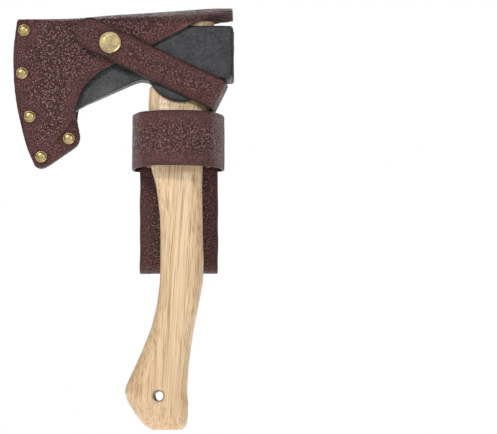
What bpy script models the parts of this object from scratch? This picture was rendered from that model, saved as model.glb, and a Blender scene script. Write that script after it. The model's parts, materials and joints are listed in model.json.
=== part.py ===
"""Carving hatchet in a riveted leather sheath, carried in a leather belt ring.

Metres, +Z up. -X is the cutting edge, +X the poll, -Y the snap side, +Y the wearer's hip.
The origin is the middle of the flat face inside the belt loop that a belt lies against.
The hatchet and its sheath have their own frame: x from the middle of the neck, y from the
middle plane of the head, z from the underside of the head.
"""
import math

import bmesh
import bpy
from mathutils import Matrix, Vector

# Leather and fits
LEATHER = 0.0025            # thickness of every leather piece
GAP = 0.0003                # space left between pieces that touch
WELT = 0.0030               # thickness of the spacer strip inside the sheath's rim

# Belt loop and collar
BELT_HEIGHT = 0.0740        # height of the space for the belt
BELT_SPACE = 0.0080         # depth of the space for the belt
LOOP_WIDTH = 0.0615
LOOP_STEP = 0.0006          # the inner layer is pressed in this much under the collar
LOOP_SHOULDER = 0.0150      # height over which the outer layer bends in to the collar
COLLAR_HEIGHT = 0.0434
COLLAR_WIDTH = 0.0730       # outside
COLLAR_FRONT = 0.0290       # from the head's middle plane to the collar's front, outside
LOOP_EDGE_LAP = 0.0012      # the belt loop's edges reach this far round the collar's back corners
COLLAR_POWER = 2.35         # how square the collar's front is
SEAM = 0.0010               # between the collar's ends, which meet inside the loop
LOOP_STEP_HEIGHT = 0.0040   # height over which the inner layer steps in
LOOP_BELOW_COLLAR = 0.0005  # the loop's top ends this far below the collar's
LOOP_RIVET_X = 0.0230       # half the distance between the loop's rivets, across
LOOP_RIVET_Z = 0.0139       # half the distance between the loop's rivets, up and down

# Handle
HANDLE_LENGTH = 0.2710      # from the head's underside to the end of the knob
KNOB_HALF = 0.0140          # half the thickness of the knob
KNOB_CLEARANCE = 0.0012     # between the knob and the rivets as it passes up the collar
TONGUE_PROUD = 0.0050       # the tongue stands this far above the head
LANYARD_R = 0.00375
LANYARD_CHAMFER_R = 0.0062
LANYARD_X = -0.0148
LANYARD_FROM_END = 0.0262
KERF_HALF = 0.0015          # half the kerf's width at its mouth
KERF_DEPTH = 0.0340

# Head
HEAD_HEIGHT = 0.0428        # at the eye and the poll
HEAD_HALF = 0.0145          # half the head's thickness at the eye
POLL_X = 0.0426
POLL_ROUND = 0.0014
EYE_X = 0.0040
EYE_HALF_LENGTH = 0.0240
EYE_HALF_WIDTH = 0.0100
EDGE_REACH = 0.1154         # from the neck's middle to the edge's furthest point
EDGE_BELLY_Z = 0.0170       # height of that point
EDGE_CURVE = 2.39           # sweep of the cutting edge, per metre
EDGE_HALF = 0.00025
BEVEL_SLOPE = 0.26
HEEL_Z = -0.0520            # lowest point of the beard
LUG_DROP = 0.0172           # how far the eye's side lugs hang below the head
LUG_HALF_LENGTH = 0.0265
LUG_X = 0.0025

# Sheath
EDGE_MARGIN = 0.0150        # sheath beyond the cutting edge
SNAP_EASE = 0.0022          # room inside the panels for the snap's and rivet's inner flanges
PANEL_EASE = 0.0006         # room inside the panels beside the eye
FOLD_RISE = 0.0082          # the fold above the head, at the blade
FOLD_RISE_POLL = 0.0158     # the fold above the head, at the poll
DRAPE = 0.0070              # height over which the panels close in below the beard
WELT_CLEARANCE = 0.0016     # between the welt and the cutting edge

# Rivets of the rim: height, and distance in from the sheath's front outline
RIM_RIVETS = (("upper", 0.0411, 0.0072), ("middle", 0.0072, 0.0071),
              ("lower", -0.0271, 0.0090), ("toe", -0.0587, 0.0092))
BEARD_RIVET = (0.0181, 0.0075)    # from the heel of the cutting edge
CAP_R = 0.0046
CAP_HEIGHT = 0.0016
POST_R = 0.0014
TUBE_R = 0.0021
TUBE_BORE_R = 0.0017
RIVET_HOLE_R = 0.0024
PANEL_HOLE_DEPTH = 0.0220   # cut for the snap's and strap rivet's holes, through one panel only
CUT_DEPTH = 0.0400          # of outline cuts, each way from the hatchet's middle plane

# Retaining strap and snap
STRAP_WIDTH = 0.0248
STRAP_TILT = math.radians(26.0)   # the strap falls this much towards the poll
STRAP_CLEARANCE = 0.0008          # strap to collar, neck and poll
LEG_EASE = 0.0002                 # added to the gap between the strap's legs and the head
STRAP_FOLD_R = 0.0030             # inside radius where the strap turns behind the neck
SNAP_FROM_NECK = 0.0892           # along the strap, from the front fold to the snap
SNAP_TO_TIP = 0.0304
STRAP_RIVET_TO_TIP = 0.0146
SNAP_CAP_R = 0.0086
SNAP_CAP_HEIGHT = 0.0022
FLANGE_R = 0.0038
FLANGE_HEIGHT = 0.0008
STUD_R = 0.0019
STUD_TIP_R = 0.0012
STUD_BASE = 0.0004
STUD_HEIGHT = 0.0020
SOCKET_R = 0.0050
SOCKET_BORE_R = 0.0026
SOCKET_HEIGHT = 0.0009

# Places that follow from the sizes
collar_bottom = BELT_HEIGHT / 2
collar_top = collar_bottom + COLLAR_HEIGHT
strap_cos, strap_sin = math.cos(STRAP_TILT), math.sin(STRAP_TILT)
head_z = (collar_top + 2 * STRAP_CLEARANCE + STRAP_WIDTH * strap_cos + LEATHER * strap_sin)
loop_inner_y = -LEATHER - LOOP_STEP
axe_y = loop_inner_y - GAP - CAP_HEIGHT - KNOB_CLEARANCE - KNOB_HALF
axe_x = 0.0015
AXE = Vector((axe_x, axe_y, head_z))

# Handle: distance below the head, front edge, back edge, half thickness
NECK = ((0.0012, -0.0197, 0.0275, 0.0097), (0.0040, -0.0236, 0.0270, 0.0097),
        (0.0160, -0.0242, 0.0246, 0.0097), (0.0210, -0.0241, 0.0236, 0.0114),
        (0.0300, -0.0238, 0.0222, 0.0120), (0.0450, -0.0232, 0.0202, 0.0122))
# Handle: share of its length, front edge, back edge, half thickness
GRIP = ((0.242, -0.0225, 0.0186, 0.0123), (0.299, -0.0181, 0.0180, 0.0125),
        (0.384, -0.0151, 0.0183, 0.0126), (0.450, -0.0146, 0.0187, 0.0128),
        (0.515, -0.0146, 0.0193, 0.0130), (0.579, -0.0149, 0.0187, 0.0131),
        (0.645, -0.0172, 0.0154, 0.0132), (0.710, -0.0216, 0.0119, 0.0134),
        (0.775, -0.0286, 0.0092, 0.0136), (0.832, -0.0356, 0.0076, 0.0139),
        (0.875, -0.0410, 0.0069, KNOB_HALF), (0.895, -0.0419, 0.0066, KNOB_HALF),
        (0.924, -0.0392, 0.0076, 0.0136), (0.963, -0.0321, 0.0073, 0.0122),
        (0.986, -0.0268, 0.0064, 0.0098), (1.000, -0.0210, 0.0030, 0.0060))

# Half thickness of the head's cheeks against x
CHEEK = ((-0.105, 0.0029), (-0.070, 0.0052), (-0.045, 0.0076), (-0.030, 0.0096),
         (-0.020, 0.0120), (-0.010, 0.0140), (-0.004, HEAD_HALF))
# Beard's underside, and the sheath's outline, as (x, z); some are steps from the heel
BEARD_TO_EYE = ((-0.0667, -0.0151), (-0.0487, -0.0070), (-0.0363, -0.0011), (-0.0294, 0.0008))
BEARD = ((0.009, 0.012), (0.018, 0.023), (0.026, 0.0316))      # from the heel
LOBE = ((-0.0098, -0.0120), (-0.0080, -0.0146), (-0.0045, -0.0156), (0.0006, -0.0142),
        (0.0120, -0.0065), (0.0215, 0.0000), (0.0250, 0.0036), (0.0264, 0.0091),
        (0.0252, 0.0160), (0.0240, 0.0234), (0.0245, 0.0310), (0.0262, 0.0380),
        (0.0295, 0.0460))                                       # from the heel
MOUTH = ((-0.0690, 0.0003), (-0.0600, 0.0078), (-0.0498, 0.0131), (-0.0350, 0.0195),
         (-0.0200, 0.0271), (-0.0040, 0.0352))
# The mouth ends above the poll, and the back panel hangs lower there than the front one.
MOUTH_END_FRONT = ((0.0131, 0.0440), (0.0280, 0.0502), (0.0380, 0.0534), (0.0418, 0.0548))
MOUTH_END_BACK = ((0.0131, 0.0432), (0.0280, 0.0480), (0.0380, 0.0494), (0.0418, 0.0498))


# ---------------------------------------------------------------- helpers

def table(rows, x):
    """Value at x of a line drawn through the rows."""
    if x <= rows[0][0]:
        return rows[0][1]
    for (x0, v0), (x1, v1) in zip(rows, rows[1:]):
        if x <= x1:
            return v0 + (v1 - v0) * (x - x0) / (x1 - x0)
    return rows[-1][1]


def ease(low, high, x):
    """0 below low, 1 above high, smooth between them."""
    t = min(max((x - low) / (high - low), 0.0), 1.0)
    return t * t * (3 - 2 * t)


def rounded_curve(points, steps):
    """Points along a smooth curve through the given ones."""
    ends = [2 * points[0] - points[1], *points, 2 * points[-1] - points[-2]]
    curve = []
    for i in range(1, len(ends) - 2):
        a, b, c, d = ends[i - 1:i + 3]
        for k in range(steps):
            t = k / steps
            curve.append(0.5 * (2 * b + (c - a) * t + (2 * a - 5 * b + 4 * c - d) * t * t
                                + (3 * b - a - 3 * c + d) * t ** 3))
    curve.append(points[-1])
    return curve


def band(path, thickness):
    """Outline of a strip of that thickness whose middle follows the path."""
    left, right = [], []
    for i, point in enumerate(path):
        before, after = path[max(i - 1, 0)], path[min(i + 1, len(path) - 1)]
        along = (after - before).normalized()
        side = Vector((-along.y, along.x)) * thickness / 2
        left.append(point + side)
        right.append(point - side)
    return left + right[::-1]


def arc(centre, radius, start, end, steps):
    """Points on an arc, angles in degrees."""
    angles = [math.radians(start + (end - start) * i / steps) for i in range(steps + 1)]
    return [centre + radius * Vector((math.cos(a), math.sin(a))) for a in angles]


def collection(name):
    made = bpy.data.collections.new(name)
    bpy.context.scene.collection.children.link(made)
    return made


def material(name, colour, roughness, metallic=0.0):
    made = bpy.data.materials.new(name)
    made.use_nodes = True
    shader = made.node_tree.nodes["Principled BSDF"]
    shader.inputs["Base Color"].default_value = (*colour, 1.0)
    shader.inputs["Roughness"].default_value = roughness
    shader.inputs["Metallic"].default_value = metallic
    made.diffuse_color = (*colour, 1.0)
    return made


def piece(name, mesh, finish, parent=None, place=None):
    """Put a mesh in the scene as one part of the hatchet."""
    obj = bpy.data.objects.new(name, mesh)
    parts.objects.link(obj)
    obj.data.materials.append(material(name, *finish))
    obj.parent = parent
    if place is not None:
        obj.matrix_basis = place
    return obj


def cutter(name, mesh, parent=None, place=None):
    obj = bpy.data.objects.new(name, mesh)
    cutters.objects.link(obj)
    obj.parent = parent
    obj.hide_render = True
    obj.display_type = "WIRE"
    if place is not None:
        obj.matrix_basis = place
    return obj


def boolean(obj, tool, operation="DIFFERENCE"):
    modifier = obj.modifiers.new(tool.name, "BOOLEAN")
    modifier.object = tool
    modifier.operation = operation
    modifier.solver = "EXACT"


def mesh_from(bm, name, smooth=True):
    bmesh.ops.recalc_face_normals(bm, faces=bm.faces)
    if bm.calc_volume(signed=True) < 0:
        bmesh.ops.reverse_faces(bm, faces=bm.faces)
    mesh = bpy.data.meshes.new(name)
    bm.to_mesh(mesh)
    bm.free()
    if smooth:
        mesh.shade_smooth()
        mesh.set_sharp_from_angle(angle=math.radians(35))
    return mesh


def flat_mesh(name, outline, thickness, turn):
    """A flat outline with a thickness, as a filled 2D curve made a mesh and turned."""
    curve = bpy.data.curves.new(name, "CURVE")
    curve.dimensions = "2D"
    curve.fill_mode = "BOTH"
    curve.extrude = thickness / 2
    spline = curve.splines.new("POLY")
    spline.points.add(len(outline) - 1)
    for point, place in zip(spline.points, outline):
        point.co = (place.x, place.y, 0.0, 1.0)
    spline.use_cyclic_u = True
    shape = bpy.data.objects.new(name, curve)
    bpy.context.scene.collection.objects.link(shape)
    bpy.context.view_layer.update()
    graph = bpy.context.evaluated_depsgraph_get()
    mesh = bpy.data.meshes.new_from_object(shape.evaluated_get(graph))
    bpy.data.objects.remove(shape)
    bpy.data.curves.remove(curve)
    bm = bmesh.new()
    bm.from_mesh(mesh)
    bmesh.ops.remove_doubles(bm, verts=bm.verts, dist=0.00001)
    bmesh.ops.transform(bm, matrix=turn, verts=bm.verts)
    bpy.data.meshes.remove(mesh)
    return mesh_from(bm, name)


def loft(name, rings):
    """A closed body through rings that have the same number of points."""
    bm = bmesh.new()
    rows = [[bm.verts.new(point) for point in ring] for ring in rings]
    count = len(rows[0])
    for low, high in zip(rows, rows[1:]):
        for i in range(count):
            k = (i + 1) % count
            bm.faces.new((low[i], low[k], high[k], high[i]))
    bm.faces.new(rows[0])
    bm.faces.new(rows[-1])
    return mesh_from(bm, name)


def sheet_mesh(name, rows, columns, place):
    """A grid whose points are moved to place(row, column)."""
    bm = bmesh.new()
    bmesh.ops.create_grid(bm, x_segments=columns - 1, y_segments=rows - 1, size=1.0)
    for vert in bm.verts:
        column = round((vert.co.x + 1) / 2 * (columns - 1))
        row = round((vert.co.y + 1) / 2 * (rows - 1))
        vert.co = place(row, column)
    mesh = bpy.data.meshes.new(name)
    bm.to_mesh(mesh)
    bm.free()
    mesh.shade_smooth()
    return mesh


def solidify(obj, thickness, offset):
    modifier = obj.modifiers.new("thickness", "SOLIDIFY")
    modifier.thickness = thickness
    modifier.offset = offset
    modifier.use_even_offset = True


def turned_mesh(name, profile, steps):
    """A body turned about Z from (radius, height) pairs, running down its outer side."""
    bm = bmesh.new()
    verts = [bm.verts.new((radius, 0.0, height)) for radius, height in profile]
    for low, high in zip(verts, verts[1:]):
        bm.edges.new((low, high))
    bmesh.ops.spin(bm, geom=bm.verts[:] + bm.edges[:], cent=(0, 0, 0), axis=(0, 0, 1),
                   angle=math.tau, steps=steps, use_merge=True)
    bmesh.ops.remove_doubles(bm, verts=bm.verts, dist=0.000005)
    return mesh_from(bm, name)


XZ = Matrix(((1, 0, 0, 0), (0, 0, -1, 0), (0, 1, 0, 0), (0, 0, 0, 1)))    # outline (x, z)
YZ = Matrix(((0, 0, 1, 0), (1, 0, 0, 0), (0, 1, 0, 0), (0, 0, 0, 1)))     # outline (y, z)
FRONT = Matrix.Rotation(math.radians(90), 4, "X")      # turned pieces that point to -Y
BACK = Matrix.Rotation(math.radians(-90), 4, "X")      # turned pieces that point to +Y


# ---------------------------------------------------------------- the head's shape

def edge_x(z):
    """The cutting edge, as x against height."""
    return -EDGE_REACH + EDGE_CURVE * (z - EDGE_BELLY_Z) ** 2


HEEL = Vector((edge_x(HEEL_Z), HEEL_Z))


def underside():
    """The beard's underside from the heel to the eye."""
    points = [HEEL] + [HEEL + Vector(step) for step in BEARD]
    points += [Vector(p) for p in BEARD_TO_EYE if p[0] > points[-1].x + 0.004]
    return points


def under_z(x):
    return table([(p.x, p.y) for p in underside()], x)


def head_half(x, z):
    """Half the head's thickness."""
    bevel = EDGE_HALF + BEVEL_SLOPE * max(x - edge_x(z), 0.0)
    return min(bevel, table(CHEEK, x))


def lug_z(x):
    """Lower outline of the lugs beside the eye, a round arc."""
    radius = (LUG_HALF_LENGTH ** 2 + LUG_DROP ** 2) / (2 * LUG_DROP)
    reach = min(abs(x - LUG_X), LUG_HALF_LENGTH)
    return radius - LUG_DROP - math.sqrt(radius ** 2 - reach ** 2)


def bow(foot, top, z):
    """How far a section bows out to follow the cutting edge."""
    share = (z - foot.y) / (top.y - foot.y)
    straight = edge_x(foot.y) + (edge_x(top.y) - edge_x(foot.y)) * share
    return (1 - ease(HEEL.x, -0.060, foot.x)) * (edge_x(z) - straight)


def head_ring(foot, top, inset=0.0):
    """A section of the head from its foot to its top, with chamfered corners."""
    side = []
    for step in range(7):
        z = foot.y + (top.y - foot.y) * step / 6
        x = foot.x + (top.x - foot.x) * step / 6 + bow(foot, top, z)
        half = head_half(x, z) - inset
        corner = min(0.0015, 0.6 * half)
        if step == 0:
            side.append(Vector((x, corner - half, z + inset)))
            z += corner + inset
        last = step == 6
        z -= corner + inset if last else 0.0
        side.append(Vector((x, -half, z)))
        if last:
            side.append(Vector((x, corner - half, z + corner)))
    return side + [Vector((p.x, -p.y, p.z)) for p in reversed(side)]


def head_stations():
    """Foot and top of each section, from the cutting edge to the poll."""
    stations = []
    feet = rounded_curve(underside(), 2)
    reach = feet[-1].x - HEEL.x
    for foot in feet:
        share = (foot.x - HEEL.x) / reach
        top = edge_x(HEAD_HEIGHT) * (1 - share) + feet[-1].x * share
        stations.append((foot, Vector((top, HEAD_HEIGHT))))
    lug_start, lug_end = LUG_X - LUG_HALF_LENGTH, LUG_X + LUG_HALF_LENGTH
    for step in range(11):
        x = lug_start + (lug_end - lug_start) * step / 10
        stations.append((Vector((x, lug_z(x))), Vector((x, HEAD_HEIGHT))))
    for x in (lug_end + 0.004, POLL_X - POLL_ROUND):
        stations.append((Vector((x, 0.0)), Vector((x, HEAD_HEIGHT))))
    return stations


def eye_oval(half_length, half_width, steps=32):
    """Plan of the eye, and of the tongue that fits it."""
    power = 2 / 2.6
    points = []
    for i in range(steps):
        a = math.tau * i / steps
        c, s = math.cos(a), math.sin(a)
        points.append(Vector((half_length * math.copysign(abs(c) ** power, c),
                              half_width * math.copysign(abs(s) ** power, s))))
    return points


# ---------------------------------------------------------------- the handle's shape

def handle_rows():
    """Distance below the head, front edge, back edge, half thickness."""
    return list(NECK) + [(share * HANDLE_LENGTH, *sizes) for share, *sizes in GRIP]


def handle_back(depth):
    return table([(row[0], row[2]) for row in handle_rows()], depth)


# ---------------------------------------------------------------- the sheath's shape

def fold_z(x):
    """Height of the fold along the sheath's top."""
    rise = FOLD_RISE + (FOLD_RISE_POLL - FOLD_RISE) * ease(-0.110, 0.045, x)
    return HEAD_HEIGHT + rise


def panel_half(x, z):
    """From the middle plane to a panel's inner face."""
    rim = WELT / 2 + GAP
    room = PANEL_EASE + (SNAP_EASE - PANEL_EASE) * (1 - ease(-0.040, -0.022, x))
    over_head = head_half(x, z) + room
    below = ease(under_z(x) - DRAPE, under_z(x) - 0.001, z)
    return max(rim, rim + (over_head - rim) * below)


def sheath_outline(mouth_end):
    """Side view of a sheath panel."""
    top = fold_z(0.0) + 0.02
    front = [Vector((edge_x(z) - EDGE_MARGIN, z))
             for z in (HEAD_HEIGHT + FOLD_RISE, 0.030, 0.017, 0.000, -0.018, -0.034, HEEL_Z)]
    lobe = [HEEL + Vector(step) for step in LOBE]
    mouth = [Vector(p) for p in MOUTH + mouth_end if p[0] > lobe[-1].x + 0.004]
    side = rounded_curve(front + lobe + mouth, 3)
    return [Vector((side[0].x, top))] + side + [Vector((side[-1].x + 0.0006, top))]


def welt_outline():
    """The spacer strip that fills the rim in front of and below the cutting edge."""
    levels = (HEAD_HEIGHT, 0.030, 0.017, 0.000, -0.018, -0.034, HEEL_Z)
    outer = [Vector((edge_x(z) - EDGE_MARGIN + GAP, z)) for z in levels]
    outer += [HEEL + Vector(step) * 0.985 for step in LOBE[:9]]
    inner = [Vector((edge_x(z) - WELT_CLEARANCE, z)) for z in levels]
    inner += [HEEL + Vector((0.0012, -0.0022))]
    inner += [HEEL + Vector(step) + Vector((0.0012, -0.0028)) for step in BEARD[:2]]
    return rounded_curve(outer, 2) + rounded_curve(inner, 2)[::-1]


# ---------------------------------------------------------------- the strap's shape
# Along the strap s runs down towards the poll, w is its distance across.

def strap_place(s, w, y):
    """A point of the strap in the hatchet's frame, from along, across and y."""
    return Vector((s * strap_cos + w * strap_sin, y, -s * strap_sin + w * strap_cos))


neck_depths = [k * 0.001 for k in range(0, round((head_z - collar_top) * 1000) + 1)]
neck_s = max(handle_back(depth) * strap_cos + depth * strap_sin for depth in neck_depths)
wrap_inner_s = neck_s + STRAP_CLEARANCE
wrap_outer_s = wrap_inner_s + LEATHER
fold_s = wrap_inner_s - STRAP_FOLD_R
low_z = collar_top + STRAP_CLEARANCE - head_z
strap_w = (low_z + wrap_outer_s * strap_sin) / strap_cos + STRAP_WIDTH / 2
snap_s = fold_s - SNAP_FROM_NECK
legs_half = HEAD_HALF + GAP + LEG_EASE
snap_rise = STUD_BASE + SOCKET_HEIGHT + 3 * GAP     # the snap holds the strap off the panel


def leg_need(s):
    """Least distance of a leg's inner face from the middle plane at s."""
    need = legs_half
    for step in range(-4, 5):
        spot = strap_place(s, strap_w + STRAP_WIDTH / 2 * step / 4, 0)
        if spot.x < -0.014:
            need = max(need, panel_half(spot.x, spot.z) + LEATHER + GAP)
    return need


def leg_rows(rise):
    """A leg's inner face: s against its distance from the middle plane."""
    rows = [(fold_s, legs_half), (fold_s - 0.012, legs_half)]
    for back in (0.024, 0.040, 0.048, 0.056, 0.066):
        rows.append((fold_s - back, leg_need(fold_s - back) + 0.0001))
    for mark in (snap_s + 0.010, snap_s - 0.010, snap_s - 0.022, snap_s - SNAP_TO_TIP):
        rows.append((mark, leg_need(mark) + 0.0001 + rise))
    return rows[::-1]


front_rows = leg_rows(snap_rise)
back_rows = leg_rows(0.0)


def leg_slope(rows, s):
    """Turn of a leg away from the middle plane near s."""
    return math.atan2(table(rows, s + 0.003) - table(rows, s - 0.003), 0.006)


def half_width(s, tip):
    """Half the strap's width at s, with a round end at the tip."""
    round_s = tip + STRAP_WIDTH / 2
    if s >= round_s:
        return STRAP_WIDTH / 2
    return math.sqrt(max((STRAP_WIDTH / 2) ** 2 - (round_s - s) ** 2, 0.002 ** 2))


def leg_path(rows, side, tip, end):
    """(s, y, half width) along a leg, from its round tip to its end at the fold."""
    round_s = tip + STRAP_WIDTH / 2
    values = [round_s - STRAP_WIDTH / 2 * math.cos(math.radians(a)) for a in range(10, 91, 10)]
    values += [row[0] for row in rows if round_s + 0.002 < row[0] < end - 0.002]
    return [(s, side * table(rows, s), half_width(s, tip)) for s in values + [end]]


# ---------------------------------------------------------------- the pieces

LEATHER_FINISH = ((0.085, 0.032, 0.028), 0.55)
WOOD_FINISH = ((0.62, 0.43, 0.24), 0.45)
WEDGE_FINISH = ((0.45, 0.29, 0.15), 0.6)
STEEL_FINISH = ((0.03, 0.032, 0.035), 0.5, 0.7)
BRASS_FINISH = ((0.45, 0.33, 0.15), 0.35, 1.0)


def make_head():
    stations = head_stations()
    rings = [head_ring(foot, top) for foot, top in stations]
    foot, top = Vector((POLL_X, 0.0)), Vector((POLL_X, HEAD_HEIGHT))
    rings.append(head_ring(foot, top, inset=POLL_ROUND))
    head = piece("axe_head", loft("axe_head", rings), STEEL_FINISH, axe)
    plan = eye_oval(EYE_HALF_LENGTH, EYE_HALF_WIDTH)
    hole = flat_mesh("eye", plan, 0.2, Matrix.Translation((EYE_X, 0, 0)))
    boolean(head, cutter("eye", hole, axe))
    # The lugs are two side plates, so the eye's ends stop at the head's underside.
    low, high = LUG_X - LUG_HALF_LENGTH - 0.001, LUG_X + LUG_HALF_LENGTH + 0.002
    box = [Vector((low, -2 * LUG_DROP)), Vector((high, -2 * LUG_DROP)),
           Vector((high, 0.0)), Vector((low, 0.0))]
    boolean(head, cutter("lug_slot", flat_mesh("lug_slot", box, 2 * EYE_HALF_WIDTH, XZ), axe))


def handle_ring(front, back, half, z, power):
    centre, reach = (front + back) / 2, (back - front) / 2
    ring = []
    for i in range(24):
        a = math.tau * i / 24
        c, s = math.cos(a), math.sin(a)
        ring.append(Vector((centre + reach * math.copysign(abs(c) ** power, c),
                            half * math.copysign(abs(s) ** power, s), z)))
    return ring


def make_handle():
    tongue_front = EYE_X - EYE_HALF_LENGTH + GAP
    tongue_back = EYE_X + EYE_HALF_LENGTH - GAP
    tongue_half = EYE_HALF_WIDTH - GAP
    top = HEAD_HEIGHT + TONGUE_PROUD
    rings = [handle_ring(tongue_front + 0.001, tongue_back - 0.001, tongue_half - 0.001, top, 2 / 2.6)]
    for z in (top - 0.001, HEAD_HEIGHT, HEAD_HEIGHT / 2, 0.0005):
        rings.append(handle_ring(tongue_front, tongue_back, tongue_half, z, 2 / 2.6))
    for depth, front, back, half in handle_rows():
        rings.append(handle_ring(front, back, half, -depth, 2 / 2.35))
    handle = piece("handle", loft("handle", rings), WOOD_FINISH, axe)

    flare = KNOB_HALF - 0.0025
    profile = [(0, 0.03), (LANYARD_CHAMFER_R + 0.0155, 0.03), (LANYARD_CHAMFER_R, KNOB_HALF),
               (LANYARD_R, flare), (LANYARD_R, -flare), (LANYARD_CHAMFER_R, -KNOB_HALF),
               (LANYARD_CHAMFER_R + 0.0155, -0.03), (0, -0.03)]
    spot = Matrix.Translation((LANYARD_X, 0, LANYARD_FROM_END - HANDLE_LENGTH)) @ FRONT
    boolean(handle, cutter("lanyard_hole", turned_mesh("lanyard_hole", profile, 24), axe, spot))

    low = HEAD_HEIGHT + TONGUE_PROUD - KERF_DEPTH
    kerf = [Vector((-KERF_HALF, top + 0.001)), Vector((KERF_HALF, top + 0.001)),
            Vector((0.0006, low)), Vector((-0.0006, low))]
    boolean(handle, cutter("kerf", flat_mesh("kerf", kerf, 0.08, YZ), axe))
    slim = [Vector((-KERF_HALF + GAP, top)), Vector((KERF_HALF - GAP, top)),
            Vector((0.0004, low + 0.004)), Vector((-0.0004, low + 0.004))]
    length = 2 * (EYE_HALF_LENGTH - 0.0012)
    wedge = flat_mesh("wooden_wedge", slim, length, YZ)
    piece("wooden_wedge", wedge, WEDGE_FINISH, axe, Matrix.Translation((EYE_X, 0, 0)))


def rim_rivet_places():
    """Name, x and z of the sheath's rim rivets."""
    places = [(name, edge_x(z) - EDGE_MARGIN + inset, z) for name, z, inset in RIM_RIVETS]
    return places + [("beard", HEEL.x + BEARD_RIVET[0], HEEL.y + BEARD_RIVET[1])]


def cap_profile(radius, height):
    """Domed cap from its crown to its rim, standing on height 0."""
    return [(0, height), (0.45 * radius, 0.92 * height), (0.78 * radius, 0.68 * height),
            (0.96 * radius, 0.34 * height), (radius, 0.08 * height), (0.98 * radius, 0)]


def rivet(name, place, grip, parent=None, back=(CAP_R, CAP_HEIGHT), head=None):
    """A two-piece rivet: a head with a post, and a cap with a tube over the post.

    Its own +Z points out of the head; grip is the leather between the two.
    """
    post = grip + 2 * GAP - 0.0008
    back_r, back_cap = back
    cap = (head or cap_profile(CAP_R, CAP_HEIGHT)) + [(POST_R, 0), (POST_R, -post), (0, -post)]
    tube = min(0.6 * grip, 0.004)
    socket = cap_profile(back_r, back_cap)
    socket += [(TUBE_R, 0), (TUBE_R, -tube), (TUBE_BORE_R, -tube), (TUBE_BORE_R, -0.0002),
               (0, -0.0002)]
    piece(name + "_post", turned_mesh(name, cap, 16), BRASS_FINISH, parent,
          place @ Matrix.Translation((0, 0, GAP)))
    under = place @ Matrix.Translation((0, 0, -grip - GAP)) @ Matrix.Rotation(math.pi, 4, "X")
    piece(name + "_socket", turned_mesh(name, socket, 16), BRASS_FINISH, parent, under)


def hole_mesh(radius=RIVET_HOLE_R, length=0.04):
    return turned_mesh("hole", [(0, length / 2), (radius, length / 2), (radius, -length / 2),
                                (0, -length / 2)], 16)


def make_sheath():
    low_z = HEEL_Z - 0.022
    turns = [math.radians(a) for a in (20, 42, 63, 80)]
    drape = (-DRAPE, -0.6 * DRAPE, -0.3 * DRAPE, -0.001, 0.004)     # around the underside
    level_count = len(drape) + 6
    section = level_count + len(turns)
    first, last = edge_x(EDGE_BELLY_Z) - EDGE_MARGIN - 0.004, POLL_X + 0.004
    rows = 30

    def levels(x):
        under = under_z(x)
        low = [low_z + (under + drape[0] - low_z) * k / 2 for k in range(2)]
        start = under + drape[-1]
        high = [start + (HEAD_HEIGHT - start) * k / 4 for k in range(1, 5)]
        return low + [under + step for step in drape] + high

    def place(row, column):
        x = first + (last - first) * row / (rows - 1)
        side = -1 if column <= section else 1
        step = min(column, 2 * section - column)
        if step < level_count:
            z = levels(x)[step]
            return Vector((x, side * panel_half(x, z), z))
        if step == section:
            return Vector((x, 0, fold_z(x) - LEATHER))
        turn = turns[step - level_count]
        power = 2 / (1.9 - 0.5 * ease(-0.06, 0.0, x))
        y = panel_half(x, HEAD_HEIGHT) * math.cos(turn) ** power
        rise = fold_z(x) - LEATHER - HEAD_HEIGHT
        return Vector((x, side * y, HEAD_HEIGHT + rise * math.sin(turn) ** power))

    shell = sheet_mesh("sheath", rows, 2 * section + 1, place)
    sheath = piece("sheath", shell, LEATHER_FINISH, axe)
    solidify(sheath, LEATHER, -1.0)
    front_side = flat_mesh("sheath_outline", sheath_outline(MOUTH_END_FRONT), 2 * CUT_DEPTH, XZ)
    back_half = Matrix.Translation((0, CUT_DEPTH / 2, 0)) @ XZ
    back_side = flat_mesh("back_outline", sheath_outline(MOUTH_END_BACK), CUT_DEPTH, back_half)
    outline = cutter("sheath_outline", front_side, axe)
    boolean(outline, cutter("back_outline", back_side, axe), "UNION")
    boolean(sheath, outline, "INTERSECT")
    welt = flat_mesh("edge_welt", welt_outline(), WELT, XZ)
    strip = piece("edge_welt", welt, LEATHER_FINISH, axe)

    face = panel_half(edge_x(0) - EDGE_MARGIN, 0) + LEATHER
    for name, x, z in rim_rivet_places():
        spot = Matrix.Translation((x, -face, z)) @ FRONT
        hole = cutter(name + "_rivet_hole", hole_mesh(), axe, spot)
        boolean(sheath, hole)
        boolean(strip, hole)
        rivet(name + "_rivet", spot, 2 * face, axe)
    return sheath


def leg_frame(rows, s, side):
    """Frame on a leg's inner face at s, with +Z pointing out through the leather."""
    slope = leg_slope(rows, s)
    normal = Vector((0, side * math.cos(slope), 0)) - strap_place(1, 0, 0) * math.sin(slope)
    across = strap_place(0, 1, 0)
    turn = Matrix((across, normal.cross(across), normal)).transposed().to_4x4()
    return Matrix.Translation(strap_place(s, strap_w, side * table(rows, s))) @ turn


def panel_frame(s, side):
    """Frame on a panel's outer face under the strap's middle at s, +Z pointing out."""
    spot = strap_place(s, strap_w, 0)
    step = 0.004
    rise_x = (panel_half(spot.x + step, spot.z) - panel_half(spot.x - step, spot.z)) / (2 * step)
    normal = Vector((-rise_x, side, 0)).normalized()
    across = Vector((0, 0, 1))
    turn = Matrix((across, normal.cross(across), normal)).transposed().to_4x4()
    face = side * (panel_half(spot.x, spot.z) + LEATHER / normal.dot(Vector((0, side, 0))))
    return Matrix.Translation((spot.x, face, spot.z)) @ turn


def strap_sheet(name, path, parent):
    """A strip whose inner face follows (s, y, half width) rows."""
    rows = len(path)

    def place(row, column):
        s, y, half = path[row]
        return strap_place(s, strap_w + half * (column - 3) / 3, y)

    return piece(name, sheet_mesh(name, rows, 7, place), LEATHER_FINISH, parent)


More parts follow.
